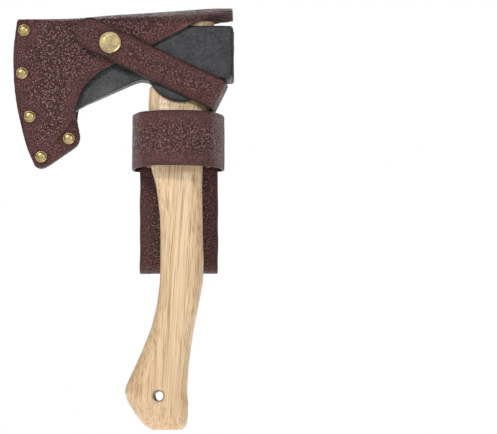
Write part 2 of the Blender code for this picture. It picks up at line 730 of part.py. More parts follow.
def make_strap(sheath):
    """The strap, riveted to the back panel, folded behind the neck and snapped in front."""
    hinge = strap_hinge.location
    from_hinge = Matrix.Translation(-hinge)
    front = leg_path(front_rows, -1, snap_s - SNAP_TO_TIP, fold_s - GAP)
    strap_front = strap_sheet("strap_front", front, strap_hinge)
    strap_front.data.transform(from_hinge)
    solidify(strap_front, LEATHER, -1.0)

    back = leg_path(back_rows, 1, snap_s - STRAP_RIVET_TO_TIP, fold_s)
    centre = legs_half - STRAP_FOLD_R
    bend = [math.radians(degrees) for degrees in (30, 60, 90)]
    turns = [(STRAP_FOLD_R * math.sin(a), centre + STRAP_FOLD_R * math.cos(a)) for a in bend]
    for out, y in turns + [(STRAP_FOLD_R, 0.0)]:
        back.append((fold_s + out, y, STRAP_WIDTH / 2))
    for out, y in turns[::-1] + [(0.0, legs_half)]:
        back.append((fold_s + out, -y, STRAP_WIDTH / 2))
    strap_back = strap_sheet("strap_back", back, axe)
    solidify(strap_back, LEATHER, 1.0)

    # Back rivet, through the strap and the back panel; its inner end is a thin flange.
    up = Matrix.Translation((0, 0, LEATHER))
    outside = leg_frame(back_rows, snap_s, 1) @ up
    hole = cutter("strap_rivet_hole", hole_mesh(length=PANEL_HOLE_DEPTH), axe, outside)
    boolean(strap_back, hole)
    boolean(sheath, hole)
    stack = (outside.translation - panel_frame(snap_s, 1).translation).length + LEATHER + 2 * GAP
    rivet("strap_rivet", outside, stack, axe, back=(FLANGE_R, FLANGE_HEIGHT))

    # Snap: cap and socket on the strap, cone-shaped stud riveted to the front panel.
    on_strap = from_hinge @ leg_frame(front_rows, snap_s, -1)
    boolean(strap_front, cutter("snap_cap_hole", hole_mesh(length=PANEL_HOLE_DEPTH), strap_hinge, on_strap))
    cap = cap_profile(SNAP_CAP_R, SNAP_CAP_HEIGHT)
    cap += [(TUBE_R, 0), (TUBE_R, -LEATHER - GAP), (0, -LEATHER - GAP)]
    piece("snap_cap", turned_mesh("snap_cap", cap, 32), BRASS_FINISH, strap_hinge,
          on_strap @ up @ Matrix.Translation((0, 0, GAP)))
    low = -GAP - SOCKET_HEIGHT
    socket = [(SOCKET_R, -GAP), (SOCKET_R, low), (SOCKET_BORE_R, low), (SOCKET_BORE_R, -GAP),
              (SOCKET_R, -GAP)]
    piece("snap_socket", turned_mesh("snap_socket", socket, 24), BRASS_FINISH, strap_hinge,
          on_strap)

    on_panel = panel_frame(snap_s, -1)
    boolean(sheath, cutter("snap_stud_hole", hole_mesh(length=PANEL_HOLE_DEPTH), axe, on_panel))
    stud = [(0, STUD_HEIGHT), (STUD_TIP_R, STUD_HEIGHT), (STUD_R, STUD_BASE),
            (FLANGE_R, STUD_BASE), (FLANGE_R, 0)]
    rivet("snap_stud", on_panel, LEATHER + GAP, axe, back=(FLANGE_R, FLANGE_HEIGHT), head=stud)


def make_collar():
    half = COLLAR_WIDTH / 2 - LEATHER / 2
    back = GAP + LEATHER / 2 - LOOP_STEP
    flat = LOOP_WIDTH / 2 - LOOP_EDGE_LAP
    corner = half - flat
    front = axe_y - COLLAR_FRONT + LEATHER / 2
    side_y = back - corner
    right = [Vector((SEAM / 2, back))] + arc(Vector((flat, side_y)), corner, 90, 0, 5)
    for step in range(1, 13):
        a = math.radians(90 * step / 12)
        right.append(Vector((half * math.cos(a) ** (2 / COLLAR_POWER),
                             side_y + (front - side_y) * math.sin(a) ** (2 / COLLAR_POWER))))
    left = [Vector((-p.x, p.y)) for p in right[:-1]]
    path = right + left[::-1]
    mid = Matrix.Translation((0, 0, (collar_bottom + collar_top) / 2))
    mesh = flat_mesh("collar", band(path, LEATHER), COLLAR_HEIGHT, mid)
    return piece("collar", mesh, LEATHER_FINISH)


def make_belt_loop():
    inner = -LEATHER / 2
    pressed = inner - LOOP_STEP
    outer = BELT_SPACE + LEATHER / 2
    held = 2 * GAP + LEATHER * 1.5 - LOOP_STEP
    top = collar_top - LOOP_BELOW_COLLAR
    low = -BELT_HEIGHT / 2
    radius = (outer - inner) / 2
    path = [Vector((pressed, top)), Vector((pressed, collar_bottom)),
            Vector((inner, collar_bottom - LOOP_STEP_HEIGHT))]
    path += arc(Vector((inner + radius, low)), radius, 180, 360, 12)
    for step in range(9):
        share = step / 8
        y = outer + (held - outer) * ease(0, 1, share)
        path.append(Vector((y, collar_bottom - LOOP_SHOULDER * (1 - share))))
    path.append(Vector((held, top)))
    mesh = flat_mesh("belt_loop", band(path, LEATHER), LOOP_WIDTH, YZ)
    return piece("belt_loop", mesh, LEATHER_FINISH)


def make_carrier():
    collar, loop = make_collar(), make_belt_loop()
    outer_face = 2 * GAP + 2 * LEATHER - LOOP_STEP
    stack = outer_face - loop_inner_y
    middle = (collar_bottom + collar_top) / 2
    for row, dz in (("upper", LOOP_RIVET_Z), ("lower", -LOOP_RIVET_Z)):
        for side, dx in (("front", -LOOP_RIVET_X), ("rear", LOOP_RIVET_X)):
            name = f"loop_{row}_{side}_rivet"
            spot = Matrix.Translation((dx, outer_face, middle + dz)) @ BACK
            hole = cutter(name + "_hole", hole_mesh(), None, spot)
            boolean(collar, hole)
            boolean(loop, hole)
            rivet(name, spot, stack)


for old in list(bpy.data.objects):
    bpy.data.objects.remove(old)
parts = collection("carving_hatchet")
cutters = collection("cutters")

axe = bpy.data.objects.new("hatchet_frame", None)
axe.location = AXE
parts.objects.link(axe)
strap_hinge = bpy.data.objects.new("strap_hinge", None)
strap_hinge.parent = axe
strap_hinge.location = strap_place(fold_s, strap_w, -legs_half - LEATHER)
parts.objects.link(strap_hinge)

make_head()
make_handle()
body_sheath = make_sheath()
make_strap(body_sheath)
make_carrier()
bpy.context.view_layer.update()
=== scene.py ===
import json
import math

import bmesh
import bpy
import numpy as np
from mathutils import Matrix, Vector
from mathutils.bvhtree import BVHTree
from mathutils.kdtree import KDTree

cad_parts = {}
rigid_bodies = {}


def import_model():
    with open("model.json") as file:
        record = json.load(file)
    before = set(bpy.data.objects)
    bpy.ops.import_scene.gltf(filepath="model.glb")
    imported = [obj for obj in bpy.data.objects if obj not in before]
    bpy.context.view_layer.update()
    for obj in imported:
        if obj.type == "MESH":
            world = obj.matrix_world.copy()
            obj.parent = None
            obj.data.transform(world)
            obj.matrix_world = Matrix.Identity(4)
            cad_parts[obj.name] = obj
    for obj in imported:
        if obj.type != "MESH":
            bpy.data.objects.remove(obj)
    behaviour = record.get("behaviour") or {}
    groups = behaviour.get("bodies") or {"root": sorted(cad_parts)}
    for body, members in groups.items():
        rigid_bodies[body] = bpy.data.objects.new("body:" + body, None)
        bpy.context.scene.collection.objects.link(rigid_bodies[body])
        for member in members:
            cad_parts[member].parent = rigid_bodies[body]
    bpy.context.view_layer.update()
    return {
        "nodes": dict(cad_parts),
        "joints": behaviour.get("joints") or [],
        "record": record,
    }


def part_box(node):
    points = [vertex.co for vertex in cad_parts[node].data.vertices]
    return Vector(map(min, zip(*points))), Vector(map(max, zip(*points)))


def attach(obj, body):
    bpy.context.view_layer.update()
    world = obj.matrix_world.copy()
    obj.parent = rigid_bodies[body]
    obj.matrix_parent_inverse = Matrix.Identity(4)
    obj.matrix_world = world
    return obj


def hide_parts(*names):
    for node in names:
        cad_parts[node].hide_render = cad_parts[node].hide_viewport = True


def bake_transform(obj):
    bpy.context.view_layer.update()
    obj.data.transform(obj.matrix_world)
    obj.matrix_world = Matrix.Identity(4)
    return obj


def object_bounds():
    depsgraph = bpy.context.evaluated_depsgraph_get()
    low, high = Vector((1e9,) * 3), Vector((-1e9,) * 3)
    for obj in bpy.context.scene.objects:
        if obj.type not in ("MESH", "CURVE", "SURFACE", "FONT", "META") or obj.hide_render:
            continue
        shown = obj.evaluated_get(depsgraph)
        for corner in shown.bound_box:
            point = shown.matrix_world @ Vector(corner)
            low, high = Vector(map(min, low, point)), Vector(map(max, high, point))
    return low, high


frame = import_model()
record = frame["record"]
mm = 0.001
print("frame loaded:", len(frame["nodes"]), "nodes")


# picking up and handling pieces

def deselectAll():
    for thing in bpy.context.view_layer.objects:
        thing.select_set(False)


def workOn(piece):
    deselectAll()
    piece.select_set(True)
    bpy.context.view_layer.objects.active = piece


def copyOfNodes(name, *nodeNames):
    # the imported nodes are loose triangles, so their copies are merged into one closed skin each
    skin = bmesh.new()
    for nodeName in nodeNames:
        skin.from_mesh(frame["nodes"][nodeName].data)
    bmesh.ops.remove_doubles(skin, verts=skin.verts, dist=0.01 * mm)
    mesh = bpy.data.meshes.new(name)
    skin.to_mesh(mesh)
    skin.free()
    piece = bpy.data.objects.new(name, mesh)
    bpy.context.scene.collection.objects.link(piece)
    return piece


def applyModifier(piece, kind, **settings):
    workOn(piece)
    modifier = piece.modifiers.new(kind.title(), kind)
    for key, value in settings.items():
        setattr(modifier, key, value)
    bpy.ops.object.modifier_apply(modifier=modifier.name)


def reskin(piece, voxel, rounding):
    # an even skin of small quads with its sharp edges rubbed round
    applyModifier(piece, "REMESH", mode="VOXEL", voxel_size=voxel, adaptivity=0.0)
    applyModifier(piece, "SMOOTH", factor=0.5, iterations=rounding)


def meshArrays(piece):
    mesh = piece.data
    count = len(mesh.vertices)
    places = np.zeros(count * 3)
    normals = np.zeros(count * 3)
    edges = np.zeros(len(mesh.edges) * 2, np.int64)
    mesh.vertices.foreach_get("co", places)
    mesh.vertex_normals.foreach_get("vector", normals)
    mesh.edges.foreach_get("vertices", edges)
    return places.reshape(-1, 3), normals.reshape(-1, 3), edges.reshape(-1, 2)


def moveVertices(piece, places):
    piece.data.vertices.foreach_set("co", np.asarray(places, np.float32).ravel())
    piece.data.update()


def spread(values, edges, times):
    # each pass, a vertex takes the mean of itself and its neighbours
    links = np.bincount(edges.ravel(), minlength=len(values))
    for _ in range(times):
        total = np.bincount(edges[:, 0], values[edges[:, 1]], len(values))
        total += np.bincount(edges[:, 1], values[edges[:, 0]], len(values))
        values = 0.5 * values + 0.5 * total / np.maximum(links, 1)
    return values


def keepAttribute(piece, name, values):
    attribute = piece.data.attributes.new(name, "FLOAT", "POINT")
    attribute.data.foreach_set("value", np.asarray(values, np.float32))


def markRub(piece, times, gain):
    # 0.5 on flats, towards 1 on ridges that get rubbed, towards 0 in hollows
    places, normals, edges = meshArrays(piece)
    step = places[edges[:, 1]] - places[edges[:, 0]]
    length = np.linalg.norm(step, axis=1) + 1e-9
    fall = -np.einsum("ij,ij->i", normals[edges[:, 0]], step) / length
    rise = np.einsum("ij,ij->i", normals[edges[:, 1]], step) / length
    bulge = np.bincount(edges[:, 0], fall, len(places)) + np.bincount(edges[:, 1], rise, len(places))
    bulge /= np.maximum(np.bincount(edges.ravel(), minlength=len(places)), 1)
    keepAttribute(piece, "rub", np.clip(0.5 + gain * spread(bulge, edges, times), 0, 1))


marks = {  # where a hide's cut edges and inner side begin, and how far the dark of an edge reaches
    "start": 0.02 * mm, "reach": 3.0, "tooThick": 1.45,  # reach and tooThick in thicknesses of hide
    "outStart": 0.1 * mm, "outReach": 75 * mm,
    "darkBand": 2.2 * mm, "burnishBand": 1.1 * mm, "burnishFull": 1.35,
    "plainBand": 2 * mm, "openBand": 13 * mm,
}


def whereLooking(piece, test):
    # 1 at each vertex whose look along its own normal passes the test
    places, normals, _ = meshArrays(piece)
    tree = BVHTree.FromPolygons([Vector(p) for p in places],
                                [tuple(f.vertices) for f in piece.data.polygons])
    return np.array([float(test(tree, Vector(p), Vector(n))) for p, n in zip(places, normals)])


def isCutEdge(tree, place, normal):
    # the way straight through is longer than the hide is thick
    reach = marks["reach"] * leather["hide"]
    hit = tree.ray_cast(place - normal * marks["start"], -normal, reach)
    return hit[0] is None or hit[3] > marks["tooThick"] * leather["hide"]


def isFleshSide(tree, place, normal):
    # the way out runs into the same piece
    return tree.ray_cast(place + normal * marks["outStart"], normal, marks["outReach"])[0] is not None


def markCutEdge(piece):
    places, _, edges = meshArrays(piece)
    cut = spread(whereLooking(piece, isCutEdge), edges, 2)
    keepAttribute(piece, "cutEdge", cut)
    keepAttribute(piece, "fleshSide", spread(whereLooking(piece, isFleshSide), edges, 3))
    rim = np.nonzero(cut > 0.5)[0]
    near = KDTree(len(rim))
    for i in rim:
        near.insert(places[i], int(i))
    near.balance()
    away = np.array([near.find(p)[2] for p in places])
    keepAttribute(piece, "nearEdge", np.exp(-(away / marks["darkBand"]) ** 2))
    keepAttribute(piece, "burnish", np.clip(marks["burnishFull"] - away / marks["burnishBand"], 0, 1))
    # the open hide is what lies well away from its rims and from the fold over the head; the grain's
    # painted highlights and painted shade are strongest there
    fold = (piece.data["foldTop"] - places[:, 2]) if "foldTop" in piece.data else away
    openness = (np.minimum(away, fold) - marks["plainBand"]) / marks["openBand"]
    keepAttribute(piece, "openHide", np.clip(openness, 0, 1))


def ripple(places, wave, height, seed):
    # slow unevenness: a few crossing waves, each with its own direction and phase
    draw = np.random.default_rng(seed)
    total = np.zeros(len(places))
    waves = 7
    for _ in range(waves):
        heading = draw.normal(size=3)
        heading /= np.linalg.norm(heading)
        total += np.sin(places @ heading * math.tau / (wave * draw.uniform(0.6, 1.6))
                        + draw.uniform(0, math.tau))
    return total / waves * height * 2


def unevenSkin(piece, wave, height, seed):
    places, normals, _ = meshArrays(piece)
    moveVertices(piece, places + normals * (ripple(places, wave, height, seed) - height)[:, None])


def pressRound(piece, seats, reach, depth):
    # a rivet pulls the hide in round its cap, where the hide faces the cap and lies by its seat
    bySeat = 3 * mm
    places, normals, _ = meshArrays(piece)
    for seat in seats:
        axis = np.array(seat["frame"].col[2][:3])
        offset = places - np.array(seat["frame"].translation)
        along = offset @ axis
        out = np.linalg.norm(offset - along[:, None] * axis, axis=1)
        facing = np.clip(normals @ axis, 0, 1) * (np.abs(along) < bySeat)
        dip = np.exp(-(np.maximum(out - seat["radius"], 0) / reach) ** 2) * depth
        places = places - normals * (dip * facing)[:, None]
    moveVertices(piece, places)


def smoothShade(piece):
    workOn(piece)
    bpy.ops.object.shade_smooth()


# finding where a turned brass part sits

def seatOf(nodeName):
    # the broadest flat ring of a rivet is the underside of its cap: it gives the seat, and the way out
    mesh = frame["nodes"][nodeName].data
    flats = {}  # faces by their plane, to 0.05 mm
    for face in mesh.polygons:
        normal = face.normal
        key = tuple(round(k, 2) for k in (*normal, normal.dot(face.center) / mm / 5))
        flats.setdefault(key, []).append(face)
    broad = max(flats.values(), key=lambda faces: sum(f.area for f in faces))
    area = sum(f.area for f in broad)
    centre = sum((f.center * f.area for f in broad), Vector()) / area
    axis = -sum((f.normal * f.area for f in broad), Vector()).normalized()
    offsets = [v.co - centre for v in mesh.vertices]
    radius = max((o - axis * o.dot(axis)).length for o in offsets)
    height = max(o.dot(axis) for o in offsets)
    turn = axis.to_track_quat("Z", "Y").to_matrix().to_4x4()
    return {"frame": Matrix.Translation(centre) @ turn, "radius": radius, "height": height,
            "depth": -min(o.dot(axis) for o in offsets)}


# shader groups

def newGroup(name, inputs, outputs):
    group = bpy.data.node_groups.new(name, "ShaderNodeTree")
    for label, kind, value in inputs:
        socket = group.interface.new_socket(name=label, in_out="INPUT", socket_type="NodeSocket" + kind)
        if value is not None:
            socket.default_value = value
    for label, kind in outputs:
        group.interface.new_socket(name=label, in_out="OUTPUT", socket_type="NodeSocket" + kind)
    return group, group.nodes.new("NodeGroupInput"), group.nodes.new("NodeGroupOutput")


def feed(tree, socket, value):
    if isinstance(value, bpy.types.NodeSocket):
        tree.links.new(value, socket)
    else:
        socket.default_value = value


def addNode(tree, kind, settings=None, **inputs):
    node = tree.nodes.new("ShaderNode" + kind)
    for key, value in (settings or {}).items():
        setattr(node, key, value)
    for key, value in inputs.items():
        # i0, i1 and so on are sockets by number, and a name's underscores stand for spaces
        label = int(key[1:]) if key[0] == "i" and key[1:].isdigit() else key.replace("_", " ")
        feed(tree, node.inputs[label], value)
    return node


def attribute(tree, name):
    return addNode(tree, "Attribute", {"attribute_name": name}).outputs["Fac"]


def maths(tree, operation, a, b=0.0, clamp=False):
    settings = {"operation": operation, "use_clamp": clamp}
    return addNode(tree, "Math", settings, i0=a, i1=b).outputs[0]


def vectorMaths(tree, operation, **inputs):
    return addNode(tree, "VectorMath", {"operation": operation}, **inputs).outputs[0]


def remap(tree, value, low, high, toLow=0.0, toHigh=1.0):
    return addNode(tree, "MapRange", {"interpolation_type": "SMOOTHSTEP"}, Value=value,
                   From_Min=low, From_Max=high, To_Min=toLow, To_Max=toHigh).outputs["Result"]


def mixColour(tree, factor, a, b, how="MIX"):
    node = tree.nodes.new("ShaderNodeMix")
    node.data_type, node.blend_type, node.clamp_factor = "RGBA", how, True
    for socket, value in zip((node.inputs[0], node.inputs[6], node.inputs[7]), (factor, a, b)):
        feed(tree, socket, value)
    return node.outputs[2]


def stretched(tree, vector, scale, turn=(0, 0, 0)):
    return addNode(tree, "Mapping", Vector=vector, Scale=scale, Rotation=turn).outputs["Vector"]


def noise(tree, vector, scale, detail=2.0, rough=0.5, warp=0.0):
    return addNode(tree, "TexNoise", Vector=vector, Scale=scale, Detail=detail, Roughness=rough,
                   Distortion=warp).outputs["Fac"]


def colour(red, green, blue):
    return (red, green, blue, 1.0)


def deepen(tint, share):
    return tuple(min(1.0, c * share) for c in tint[:3]) + (1.0,)


grainScales = {"bend": 320.0, "bendBy": 0.0016, "fine": 2600.0, "dots": 640.0, "ragged": 1500.0,
               "broad": 210.0, "cloud": 55.0}


def makePebbleGroup():
    # leather grain: rounded pebbles between fine creases, some of them given painted glints; the crease
    # and speckle masks also place painted shade and painted highlights
    group, given, out = newGroup(
        "pebbleGrain",
        [("Vector", "Vector", None), ("Pebbles per metre", "Float", 700.0), ("Smoothness", "Float", 0.0)],
        [("Height", "Float"), ("Crease", "Float"), ("Glint", "Float"), ("Cloud", "Float"),
         ("Speckle", "Float")])
    vector, scale, smooth = given.outputs[0], given.outputs[1], given.outputs[2]
    warp = addNode(group, "TexNoise", Vector=vector, Scale=grainScales["bend"],
                   Detail=2.0).outputs["Color"]
    bent = vectorMaths(group, "SUBTRACT", i0=warp, i1=(0.5, 0.5, 0.5))
    bent = vectorMaths(group, "SCALE", i0=bent, Scale=grainScales["bendBy"])
    bent = vectorMaths(group, "ADD", i0=vector, i1=bent)
    cells = addNode(group, "TexVoronoi", {"feature": "SMOOTH_F1"}, Vector=bent, Scale=scale,
                    Smoothness=0.35)
    gaps = addNode(group, "TexVoronoi", {"feature": "DISTANCE_TO_EDGE"}, Vector=bent, Scale=scale)
    fine = noise(group, bent, grainScales["fine"], 3.0, 0.6)
    dots = addNode(group, "TexVoronoi", {"feature": "F1"}, Vector=bent, Scale=grainScales["dots"],
                   Randomness=0.9)
    speckle = maths(group, "SUBTRACT", 0.74, maths(group, "MULTIPLY", dots.outputs["Distance"], 0.55))
    ragged = maths(group, "SUBTRACT", noise(group, bent, grainScales["ragged"], 1.0, 0.5), 0.5)
    speckle = maths(group, "ADD", speckle, maths(group, "MULTIPLY", ragged, 0.5))
    crease = remap(group, gaps.outputs["Distance"], 0.02, 0.2, 1.0, 0.0)
    dome = remap(group, cells.outputs["Distance"], 0.15, 0.75, 1.0, 0.0)
    broad = noise(group, vector, grainScales["broad"], 3.0, 0.6)
    cloud = noise(group, vector, grainScales["cloud"], 4.0, 0.6)
    keep = maths(group, "SUBTRACT", 1.0, smooth, True)
    crease = maths(group, "MULTIPLY", crease, keep)
    body = maths(group, "ADD", maths(group, "MULTIPLY", dome, 0.3),
                 maths(group, "MULTIPLY", crease, -0.15))
    body = maths(group, "ADD", body, remap(group, speckle, 0.35, 0.65, 0.0, 0.55))
    body = maths(group, "ADD", body, maths(group, "MULTIPLY", broad, 0.25))
    body = maths(group, "ADD", maths(group, "MULTIPLY", body, keep), maths(group, "MULTIPLY", fine, 0.16))
    evened = maths(group, "MULTIPLY", maths(group, "SUBTRACT", speckle, 0.5), keep)
    evened = maths(group, "ADD", evened, 0.5)
    tone = addNode(group, "SeparateColor", Color=cells.outputs["Color"]).outputs[0]
    # the glint mask picks the pebbles that get a painted glint, a highlight laid into the colour
    glint = maths(group, "MULTIPLY", remap(group, tone, 0.4, 0.95), remap(group, speckle, 0.5, 0.64))
    glint = maths(group, "MULTIPLY", glint, remap(group, broad, 0.42, 0.66))
    for label, value in (("Height", body), ("Crease", crease),
                         ("Glint", maths(group, "MULTIPLY", glint, keep)), ("Cloud", cloud),
                         ("Speckle", evened)):
        group.links.new(value, out.inputs[label])
    return group


wear = {"patchScale": 420.0, "patchShare": 0.35, "ridge": (0.6, 0.9), "hollow": (0.42, 0.15)}


def makeRubGroup():
    # ridges take one colour, worn from handling; hollows take a darker one
    group, given, out = newGroup(
        "handlingWear",
        [("Color", "Color", colour(0.5, 0.5, 0.5)), ("Rubbed", "Color", colour(0.8, 0.8, 0.8)),
         ("Dirt", "Color", colour(0.05, 0.05, 0.05)), ("Wear", "Float", 0.6), ("Grime", "Float", 0.6),
         ("Vector", "Vector", None)],
        [("Color", "Color"), ("Rubbed", "Float"), ("Dirt", "Float")])
    rub = attribute(group, "rub")
    patch = noise(group, given.outputs["Vector"], wear["patchScale"], 4.0, 0.65)
    patch = maths(group, "MULTIPLY", maths(group, "SUBTRACT", patch, 0.5), wear["patchShare"])
    ridge = maths(group, "ADD", rub, patch)
    ridge = maths(group, "MULTIPLY", remap(group, ridge, *wear["ridge"]), given.outputs["Wear"], True)
    hollow = maths(group, "MULTIPLY", remap(group, rub, *wear["hollow"]), given.outputs["Grime"], True)
    worn = mixColour(group, ridge, given.outputs["Color"], given.outputs["Rubbed"])
    worn = mixColour(group, hollow, worn, given.outputs["Dirt"])
    for label, value in (("Color", worn), ("Rubbed", ridge), ("Dirt", hollow)):
        group.links.new(value, out.inputs[label])
    return group


pebbleGroup = makePebbleGroup()
rubGroup = makeRubGroup()


def placeGroup(tree, group, **inputs):
    node = tree.nodes.new("ShaderNodeGroup")
    node.node_tree = group
    for key, value in inputs.items():
        feed(tree, node.inputs[key.replace("_", " ")], value)
    return node


def newFinish(name):
    finish = bpy.data.materials.new(name)
    finish.use_nodes = True
    tree = finish.node_tree
    shader = tree.nodes["Principled BSDF"]
    vector = addNode(tree, "TexCoord").outputs["Object"]
    return finish, tree, shader, vector


def raiseGrain(tree, shader, height, distance, strength=1.0):
    bump = addNode(tree, "Bump", Height=height, Distance=distance, Strength=strength)
    tree.links.new(bump.outputs["Normal"], shader.inputs["Normal"])


# leather

leather = {
    "hide": 2.5 * mm,
    "dye": colour(0.148, 0.052, 0.050),
    # deep: the dark of painted shade in the grain's creases and hollows, also used for the darker band by
    # the edges and the darker hollows of the wear
    "deep": colour(0.020, 0.005, 0.0045),
    # sheen: the colour of painted glints on the pebbles
    "sheen": colour(0.34, 0.22, 0.21),
    "edge": colour(0.010, 0.0035, 0.003),
    "flesh": colour(0.030, 0.012, 0.010),
    # lit: the colour of painted highlights on the raised grain
    "lit": colour(0.27, 0.158, 0.154),
    "worn": colour(0.15, 0.07, 0.062),
    "pebblesPerMetre": 500.0,
    "hollowGrain": (0.48, 0.38),  # where the speckle gets painted shade, as in hollows
    "raisedGrain": (0.54, 0.66),  # and where it gets a painted highlight, as on raised grain
    "rimDark": 0.45,
    "rough": (0.46, 0.29),  # in the creases and on the pebbles
    "specular": 0.3,
    "wear": 0.3,
    "grime": 0.7,
    "bump": 1.3 * mm,
    "rubSpread": 7,
    "rubGain": 2.4,
}


def leatherFinish(name, lighter=1.0, smoothness=0.0, glints=0.32):
    finish, tree, shader, vector = newFinish(name)
    cut = attribute(tree, "cutEdge")
    near = attribute(tree, "nearEdge")
    rub = attribute(tree, "rub")
    openHide = attribute(tree, "openHide")
    flesh = attribute(tree, "fleshSide")
    burnish = attribute(tree, "burnish")
    stretchedHide = maths(tree, "ADD", remap(tree, rub, 0.56, 0.72), smoothness, True)
    flat = maths(tree, "MAXIMUM", maths(tree, "MULTIPLY", stretchedHide, 0.7), cut, True)
    grain = placeGroup(tree, pebbleGroup, Vector=vector, Smoothness=flat,
                       Pebbles_per_metre=leather["pebblesPerMetre"])
    dye = deepen(leather["dye"], lighter)
    cloudy = remap(tree, grain.outputs["Cloud"], 0.35, 0.7, 0.0, 0.5)
    base = mixColour(tree, cloudy, dye, deepen(dye, 0.7))
    # painted shade in the creases between pebbles
    base = mixColour(tree, maths(tree, "MULTIPLY", grain.outputs["Crease"], 0.85), base, leather["deep"])
    # painted shade in the low speckles, strongest on the open hide
    hollow = remap(tree, grain.outputs["Speckle"], *leather["hollowGrain"], 0.0, 0.95)
    hollow = maths(tree, "MULTIPLY", hollow, remap(tree, openHide, 0.0, 1.0, 0.35, 1.0))
    # painted highlights on the raised speckles, strongest on the open hide
    raised = remap(tree, grain.outputs["Speckle"], *leather["raisedGrain"])
    raised = maths(tree, "MULTIPLY", raised, remap(tree, openHide, 0.0, 1.0, 0.12, 1.0))
    base = mixColour(tree, hollow, base, leather["deep"])
    base = mixColour(tree, raised, base, leather["lit"])
    # painted glints: pebble tops lightened towards the sheen colour
    base = mixColour(tree, maths(tree, "MULTIPLY", grain.outputs["Glint"], glints), base, leather["sheen"])
    base = mixColour(tree, maths(tree, "MULTIPLY", near, leather["rimDark"]), base, leather["deep"])
    worn = placeGroup(tree, rubGroup, Vector=vector, Color=base, Rubbed=leather["worn"],
                      Dirt=leather["deep"], Wear=leather["wear"], Grime=leather["grime"])
    base = mixColour(tree, maths(tree, "MULTIPLY", flesh, 0.85), worn.outputs["Color"], leather["flesh"])
    dressed = maths(tree, "MAXIMUM", cut, maths(tree, "MULTIPLY", burnish, 0.85))
    base = mixColour(tree, dressed, base, leather["edge"])
    tree.links.new(base, shader.inputs["Base Color"])
    rough = maths(tree, "SUBTRACT", remap(tree, grain.outputs["Height"], 0.1, 0.9, *leather["rough"]),
                  maths(tree, "MULTIPLY", grain.outputs["Glint"], 0.08))
    rough = maths(tree, "ADD", rough, maths(tree, "MULTIPLY", flesh, 0.3), True)
    tree.links.new(rough, shader.inputs["Roughness"])
    shader.inputs["Specular IOR Level"].default_value = leather["specular"]
    raiseGrain(tree, shader, grain.outputs["Height"], leather["bump"])
    return finish


sheathLeather = leatherFinish("sheathLeather")
strapLeather = leatherFinish("strapLeather", 0.98)
ringLeather = leatherFinish("ringLeather", 0.95, 0.22)
# the belt loop's copy is darker as painted shade, for the face that lies behind the handle
loopLeather = leatherFinish("loopLeather", 0.82, 0.15)
weltLeather = leatherFinish("weltLeather", 0.4, 0.8)


# ash wood

ash = {
    "light": colour(0.64, 0.475, 0.30),
    "dark": colour(0.43, 0.28, 0.145),
    "wedgeLight": colour(0.42, 0.25, 0.12),
    "wedgeDark": colour(0.26, 0.14, 0.06),
    "pore": colour(0.17, 0.09, 0.038),
    "dirt": colour(0.16, 0.085, 0.04),
    # the dark painted as shade inside the lanyard hole
    "boreShade": colour(0.09, 0.045, 0.02),
    "lean": math.radians(4.3),  # the handle's line leans back by this much
    "wander": 0.004,
    "wanderScale": 13.0,
    "broadScale": 24.0,
    "ringScale": 400.0,
    "fibreScale": 1500.0,
    "poreScale": 1250.0,
    "relief": 0.06 * mm,
    "rough": (0.34, 0.46),
    "wear": 0.35,
    "grime": 0.5,
    "lowerDarken": 0.38,
    "oil": 0.22,
    "oilSpread": 0.28,
}


def ashFinish(name, light, dark):
    finish, tree, shader, vector = newFinish(name)
    along = stretched(tree, vector, (1, 1, 1), (0, -ash["lean"], 0))
    slow = stretched(tree, along, (1, 1, 0.3))
    wander = addNode(tree, "TexNoise", Vector=slow, Scale=ash["wanderScale"], Detail=1.0).outputs["Color"]
    wander = vectorMaths(tree, "SCALE", i0=wander, Scale=ash["wander"])
    along = vectorMaths(tree, "ADD", i0=along, i1=wander)
    rings = noise(tree, stretched(tree, along, (1, 0.35, 0.009)), ash["ringScale"], 3.0, 0.55)
    fibre = noise(tree, stretched(tree, along, (1, 1, 0.009)), ash["fibreScale"], 3.0, 0.6)
    pores = noise(tree, stretched(tree, along, (1, 1, 0.014)), ash["poreScale"], 2.0, 0.5)
    broad = noise(tree, slow, ash["broadScale"], 2.0, 0.5)
    late = remap(tree, rings, 0.46, 0.68)
    poreShare = remap(tree, rings, 0.36, 0.58, 0.45, 1.0)  # more pores in the darker rings
    pore = maths(tree, "MULTIPLY", remap(tree, pores, 0.52, 0.62), poreShare)
    base = mixColour(tree, maths(tree, "MULTIPLY", late, 0.7), light, dark)
    base = mixColour(tree, remap(tree, broad, 0.35, 0.75, 0.0, 0.25), base, dark)
    base = mixColour(tree, remap(tree, fibre, 0.44, 0.6, 0.0, 0.6), base, dark)
    base = mixColour(tree, maths(tree, "MULTIPLY", pore, 0.75), base, ash["pore"])
    lowerShare = attribute(tree, "lowerPart")
    # darker towards the bottom of the handle
    base = mixColour(tree, maths(tree, "MULTIPLY", lowerShare, ash["lowerDarken"]), base, dark)
    worn = placeGroup(tree, rubGroup, Vector=vector, Color=base, Rubbed=dark, Dirt=ash["dirt"],
                      Wear=ash["wear"], Grime=ash["grime"])
    # painted shade inside the lanyard hole
    boreShade = attribute(tree, "boreShade")
    base = mixColour(tree, boreShade, worn.outputs["Color"], ash["boreShade"])
    tree.links.new(base, shader.inputs["Base Color"])
    rough = remap(tree, fibre, 0.3, 0.8, *ash["rough"])
    rough = maths(tree, "ADD", rough, maths(tree, "MULTIPLY", pore, 0.2))
    tree.links.new(rough, shader.inputs["Roughness"])
    shader.inputs["Coat Weight"].default_value = ash["oil"]
    shader.inputs["Coat Roughness"].default_value = ash["oilSpread"]
    height = maths(tree, "SUBTRACT", maths(tree, "MULTIPLY", fibre, 0.35), pore)
    raiseGrain(tree, shader, height, ash["relief"], 0.6)
    return finish


handleAsh = ashFinish("handleAsh", ash["light"], ash["dark"])
wedgeAsh = ashFinish("wedgeAsh", ash["wedgeLight"], ash["wedgeDark"])


# forged steel

